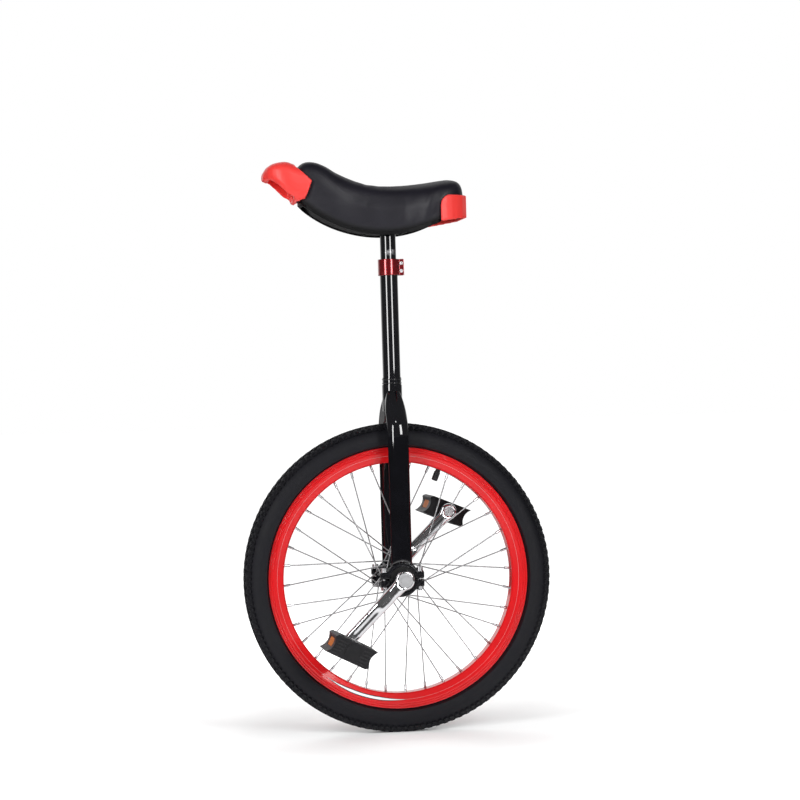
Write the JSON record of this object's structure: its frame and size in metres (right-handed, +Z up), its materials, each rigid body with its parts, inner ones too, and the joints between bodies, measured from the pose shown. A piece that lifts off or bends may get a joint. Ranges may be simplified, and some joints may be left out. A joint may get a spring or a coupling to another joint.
{
  "type": "unicycle",
  "caption": "Unicycle with a treaded tyre on a laced red rim, a black fork, a curved padded saddle with red handle and bumper, a clamped height-adjustable post, chrome cranks and block pedals.",
  "frame": {"origin": "point on the ground under the middle of the wheel", "axes": "+X forward (the side of the saddle's handle), +Y left along the axle, +Z up along the seat tube"},
  "size_m": [0.496, 0.3774, 0.9178],
  "materials": {
    "frame_black": "gloss",
    "housing_black": "satin",
    "steel": "satin",
    "clamp_red": "anodised",
    "tyre_rubber": "matte",
    "black_rubber": "matte",
    "rim_red": "gloss",
    "spoke_steel": "bright",
    "nipple_brass": "bright",
    "hub_black": "satin",
    "bearing_steel": "ground",
    "crank_chrome": "bright",
    "cap_grey": "satin",
    "pedal_black": "moulded",
    "bush_brass": "plain",
    "reflector_amber": "prismatic",
    "base_black": "moulded",
    "saddle_vinyl": "grained",
    "trim_red": "moulded"
  },
  "bodies": {
    "frame": {"seat_tube": "frame_black", "crown_sleeve": "frame_black", "left_leg": "frame_black", "right_leg": "frame_black", "left_housing": "housing_black", "right_housing": "housing_black", "left_bearing_cap": "housing_black", "right_bearing_cap": "housing_black", "housing_bolts": "steel", "housing_washers": "steel", "housing_nuts": "steel", "bearing_outer_races": "bearing_steel", "bearing_shields": "black_rubber", "seat_clamp": "clamp_red", "clamp_bolts": "steel"},
    "wheel": {"tyre": "tyre_rubber", "tyre_tread": "tyre_rubber", "inner_tube": "black_rubber", "rim_tape": "black_rubber", "rim": "rim_red", "left_spokes": "spoke_steel", "right_spokes": "spoke_steel", "nipples": "nipple_brass", "valve_stem": "black_rubber", "valve_cap": "pedal_black", "hub_shell": "hub_black", "axle": "steel", "bearing_inner_races": "bearing_steel", "bearing_balls": "bearing_steel", "left_crank": "crank_chrome", "right_crank": "crank_chrome", "crank_bolts": "steel", "dust_caps": "cap_grey", "left_pedal_spindle": "steel", "right_pedal_spindle": "steel"},
    "left_pedal": {"left_pedal_body": "pedal_black", "left_pedal_bushes": "bush_brass", "left_pedal_cap": "pedal_black", "left_pedal_reflectors": "reflector_amber"},
    "right_pedal": {"right_pedal_body": "pedal_black", "right_pedal_bushes": "bush_brass", "right_pedal_cap": "pedal_black", "right_pedal_reflectors": "reflector_amber"},
    "seat": {"seatpost": "frame_black", "post_plate": "housing_black", "saddle_base": "base_black", "saddle_pad": "saddle_vinyl", "front_handle": "trim_red", "rear_bumper": "trim_red", "saddle_bolts": "steel", "saddle_nuts": "steel", "trim_screws": "steel"}
  },
  "joints": [
    {"name": "wheel_spin", "type": "hinge", "parent": "frame", "child": "wheel", "pos_m": [0, 0, 0.248], "axis": [0, 1, 0], "continuous": true},
    {"name": "left_pedal_spin", "type": "hinge", "parent": "wheel", "child": "left_pedal", "pos_m": [0.09985, 0.12, 0.14987], "axis": [0, 1, 0], "continuous": true},
    {"name": "right_pedal_spin", "type": "hinge", "parent": "wheel", "child": "right_pedal", "pos_m": [-0.09985, -0.12, 0.34613], "axis": [0, 1, 0], "continuous": true},
    {"name": "seat_height", "type": "slide", "parent": "frame", "child": "seat", "axis": [0, 0, 1], "range_m": [-0.02, 0.12]}
  ]
}
